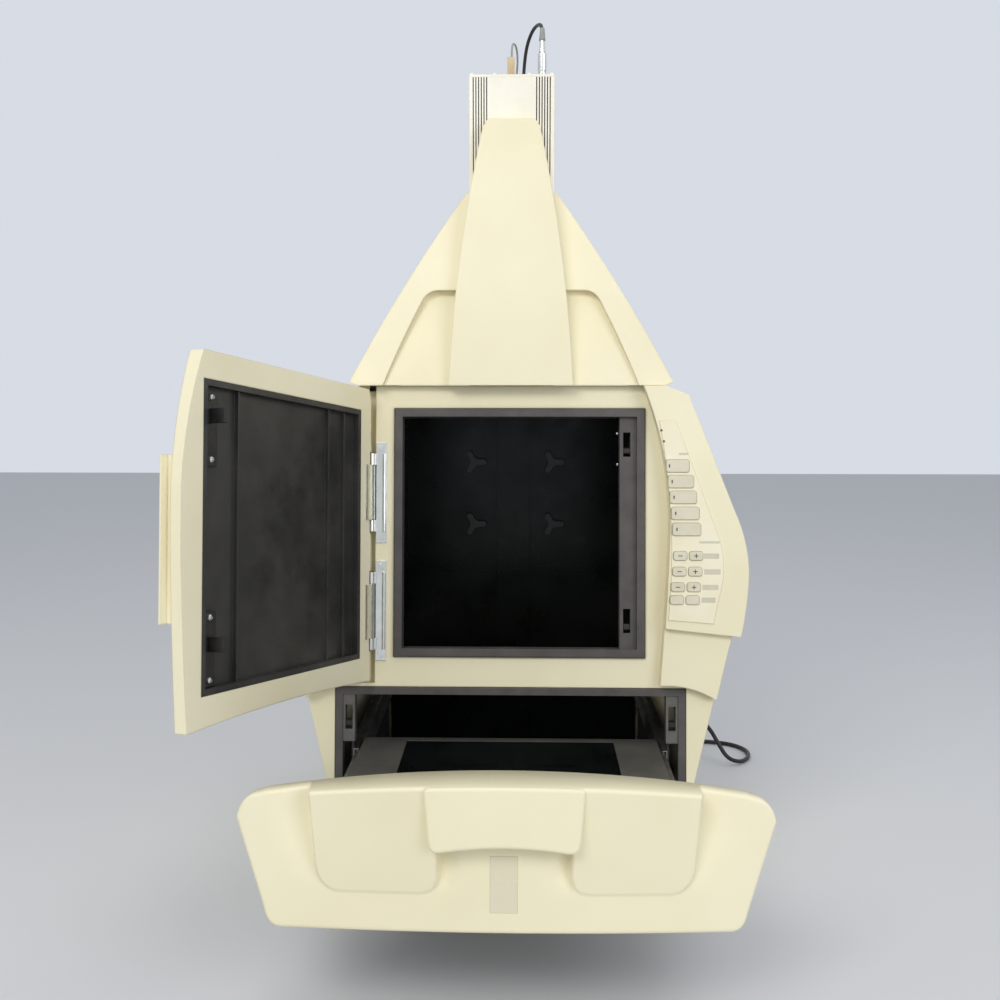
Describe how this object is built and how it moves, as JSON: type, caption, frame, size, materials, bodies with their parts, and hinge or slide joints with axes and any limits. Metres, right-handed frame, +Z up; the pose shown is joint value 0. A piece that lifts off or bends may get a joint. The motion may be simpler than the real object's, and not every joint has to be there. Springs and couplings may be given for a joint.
{
  "type": "gel documentation system",
  "caption": "Darkroom cabinet for imaging gels: swing-open door, pull-out transilluminator drawer with filter glass, key panel, and a camera tower over a tapered hood.",
  "frame": {"origin": "on the table under the middle of the whole object, as it stands with its door open and its drawer out", "axes": "+Z up, front towards -Y, +X to the right of someone facing it"},
  "size_m": [0.7147, 0.8598, 1.0935],
  "materials": {
    "steel_plate": "powder-coated steel",
    "rubber_foot": "matte",
    "shell_plastic": "fine satin cream moulding",
    "painted_sheet": "cream powder coat",
    "chamber_sheet": "black satin paint",
    "black_plastic": "black satin moulding",
    "black_gloss": "black polished moulding",
    "frame_plastic": "dark grey satin moulding",
    "hinge_chrome": "bright plated",
    "slide_steel": "zinc plated",
    "tower_aluminium": "off-white paint",
    "camera_metal": "black anodised",
    "lens_metal": "black anodised",
    "ring_rubber": "ribbed grip",
    "overlay_film": "printed overlay film",
    "supply_sheet": "galvanised sheet",
    "connector_metal": "plated",
    "cord_jacket": "black jacket",
    "grey_jacket": "grey jacket",
    "liner_plastic": "black moulding",
    "tray_sheet": "silver-grey satin",
    "filter_glass": "dark ultraviolet filter glass",
    "tube_glass": "blacklight tube",
    "key_plastic": "satin"
  },
  "bodies": {
    "cabinet": {"base_plate": "steel_plate", "feet": "rubber_foot", "front_bezel": "shell_plastic", "side_cover_left": "shell_plastic", "side_cover_right": "shell_plastic", "rear_panel": "painted_sheet", "chamber_liner": "chamber_sheet", "trilobe_knobs": "black_plastic", "aperture_frame": "frame_plastic", "bay_frame": "frame_plastic", "drawer_catches": "black_plastic", "hinge_fixed_leaves": "hinge_chrome", "slide_outers": "slide_steel", "hood_cover": "shell_plastic", "tower_shell": "tower_aluminium", "tower_cap": "tower_aluminium", "camera_body": "camera_metal", "lens_barrel": "lens_metal", "control_overlay": "overlay_film", "power_supply": "supply_sheet", "fan_frame": "black_plastic", "mains_inlet": "black_plastic", "cap_connectors": "connector_metal", "camera_cable": "cord_jacket", "lens_lead": "grey_jacket", "mains_connector": "cord_jacket", "mains_cable": "cord_jacket", "mains_coil": "cord_jacket", "mains_plug": "cord_jacket"},
    "door": {"door_shell": "shell_plastic", "door_liner": "liner_plastic", "latch_plates": "black_plastic", "hinge_moving_leaves": "hinge_chrome"},
    "drawer": {"drawer_front": "shell_plastic", "tray_box": "tray_sheet", "tray_lid": "tray_sheet", "filter_glass": "filter_glass", "uv_tubes": "tube_glass"},
    "slide_middle": {"slide_middles": "slide_steel"},
    "zoom_ring_body": {"zoom_ring": "ring_rubber"},
    "focus_ring_body": {"focus_ring": "ring_rubber"},
    "fan_rotor_body": {"fan_rotor": "black_plastic"},
    "rocker_body": {"power_rocker": "black_gloss"},
    "door_pawl_upper_body": {"door_pawl_upper": "black_gloss"},
    "door_pawl_lower_body": {"door_pawl_lower": "black_gloss"},
    "drawer_pawl_left_body": {"drawer_pawl_left": "black_gloss"},
    "drawer_pawl_right_body": {"drawer_pawl_right": "black_gloss"},
    "light_key_1_body": {"light_key_1": "key_plastic"},
    "light_key_2_body": {"light_key_2": "key_plastic"},
    "light_key_3_body": {"light_key_3": "key_plastic"},
    "light_key_4_body": {"light_key_4": "key_plastic"},
    "light_key_5_body": {"light_key_5": "key_plastic"},
    "iris_key_minus_body": {"iris_key_minus": "key_plastic"},
    "iris_key_plus_body": {"iris_key_plus": "key_plastic"},
    "zoom_key_minus_body": {"zoom_key_minus": "key_plastic"},
    "zoom_key_plus_body": {"zoom_key_plus": "key_plastic"},
    "focus_key_minus_body": {"focus_key_minus": "key_plastic"},
    "focus_key_plus_body": {"focus_key_plus": "key_plastic"},
    "speed_key_minus_body": {"speed_key_minus": "key_plastic"},
    "speed_key_plus_body": {"speed_key_plus": "key_plastic"}
  },
  "joints": [
    {"name": "door_hinge", "type": "hinge", "parent": "cabinet", "child": "door", "pos_m": [-0.161, -0.03053, 0.05804], "axis": [0, 0.1305, 0.9914], "range_deg": [0, 110.2]},
    {"name": "drawer_slide", "type": "slide", "parent": "cabinet", "child": "drawer", "axis": [0, 1, 0], "range_m": [0, 0.31]},
    {"name": "slide_middle_slide", "type": "slide", "parent": "cabinet", "child": "slide_middle", "axis": [0, 1, 0], "range_m": [0, 0.155]},
    {"name": "zoom_ring_turn", "type": "hinge", "parent": "cabinet", "child": "zoom_ring_body", "pos_m": [0.012, 0.1525, 0.759], "axis": [0, 0, 1], "range_deg": [-60, 60]},
    {"name": "focus_ring_turn", "type": "hinge", "parent": "cabinet", "child": "focus_ring_body", "pos_m": [0.012, 0.1525, 0.709], "axis": [0, 0, 1], "range_deg": [-120, 120]},
    {"name": "fan_spin", "type": "hinge", "parent": "cabinet", "child": "fan_rotor_body", "pos_m": [0.122, 0.358, 0.307], "axis": [0, 1, 0], "continuous": true},
    {"name": "rocker_tilt", "type": "hinge", "parent": "cabinet", "child": "rocker_body", "pos_m": [0.162, 0.3695, 0.111], "axis": [1, 0, 0], "range_deg": [-9, 9]},
    {"name": "door_pawl_upper_slide", "type": "slide", "parent": "cabinet", "child": "door_pawl_upper_body", "axis": [0, -0.1305, -0.9914], "range_m": [0, 0.003], "stiffness_N_per_m": 400, "springref_m": -0.002},
    {"name": "door_pawl_lower_slide", "type": "slide", "parent": "cabinet", "child": "door_pawl_lower_body", "axis": [0, -0.1305, -0.9914], "range_m": [0, 0.003], "stiffness_N_per_m": 400, "springref_m": -0.002},
    {"name": "drawer_pawl_left_slide", "type": "slide", "parent": "cabinet", "child": "drawer_pawl_left_body", "axis": [0, -0.1305, -0.9914], "range_m": [0, 0.003], "stiffness_N_per_m": 400, "springref_m": -0.002},
    {"name": "drawer_pawl_right_slide", "type": "slide", "parent": "cabinet", "child": "drawer_pawl_right_body", "axis": [0, -0.1305, -0.9914], "range_m": [0, 0.003], "stiffness_N_per_m": 400, "springref_m": -0.002},
    {"name": "light_key_1_press", "type": "slide", "parent": "cabinet", "child": "light_key_1_body", "axis": [0, 0.9914, -0.1305], "range_m": [0, 0.0005], "stiffness_N_per_m": 1200, "springref_m": -0.0004},
    {"name": "light_key_2_press", "type": "slide", "parent": "cabinet", "child": "light_key_2_body", "axis": [0, 0.9914, -0.1305], "range_m": [0, 0.0005], "stiffness_N_per_m": 1200, "springref_m": -0.0004},
    {"name": "light_key_3_press", "type": "slide", "parent": "cabinet", "child": "light_key_3_body", "axis": [0, 0.9914, -0.1305], "range_m": [0, 0.0005], "stiffness_N_per_m": 1200, "springref_m": -0.0004},
    {"name": "light_key_4_press", "type": "slide", "parent": "cabinet", "child": "light_key_4_body", "axis": [0, 0.9914, -0.1305], "range_m": [0, 0.0005], "stiffness_N_per_m": 1200, "springref_m": -0.0004},
    {"name": "light_key_5_press", "type": "slide", "parent": "cabinet", "child": "light_key_5_body", "axis": [0, 0.9914, -0.1305], "range_m": [0, 0.0005], "stiffness_N_per_m": 1200, "springref_m": -0.0004},
    {"name": "iris_key_minus_press", "type": "slide", "parent": "cabinet", "child": "iris_key_minus_body", "axis": [0, 0.9914, -0.1305], "range_m": [0, 0.0005], "stiffness_N_per_m": 1200, "springref_m": -0.0004},
    {"name": "iris_key_plus_press", "type": "slide", "parent": "cabinet", "child": "iris_key_plus_body", "axis": [0, 0.9914, -0.1305], "range_m": [0, 0.0005], "stiffness_N_per_m": 1200, "springref_m": -0.0004},
    {"name": "zoom_key_minus_press", "type": "slide", "parent": "cabinet", "child": "zoom_key_minus_body", "axis": [0, 0.9914, -0.1305], "range_m": [0, 0.0005], "stiffness_N_per_m": 1200, "springref_m": -0.0004},
    {"name": "zoom_key_plus_press", "type": "slide", "parent": "cabinet", "child": "zoom_key_plus_body", "axis": [0, 0.9914, -0.1305], "range_m": [0, 0.0005], "stiffness_N_per_m": 1200, "springref_m": -0.0004},
    {"name": "focus_key_minus_press", "type": "slide", "parent": "cabinet", "child": "focus_key_minus_body", "axis": [0, 0.9914, -0.1305], "range_m": [0, 0.0005], "stiffness_N_per_m": 1200, "springref_m": -0.0004},
    {"name": "focus_key_plus_press", "type": "slide", "parent": "cabinet", "child": "focus_key_plus_body", "axis": [0, 0.9914, -0.1305], "range_m": [0, 0.0005], "stiffness_N_per_m": 1200, "springref_m": -0.0004},
    {"name": "speed_key_minus_press", "type": "slide", "parent": "cabinet", "child": "speed_key_minus_body", "axis": [0, 0.9914, -0.1305], "range_m": [0, 0.0005], "stiffness_N_per_m": 1200, "springref_m": -0.0004},
    {"name": "speed_key_plus_press", "type": "slide", "parent": "cabinet", "child": "speed_key_plus_body", "axis": [0, 0.9914, -0.1305], "range_m": [0, 0.0005], "stiffness_N_per_m": 1200, "springref_m": -0.0004}
  ],
  "couplings": [
    {"joint": "slide_middle_slide", "follows": "drawer_slide", "ratio": 0.5}
  ]
}
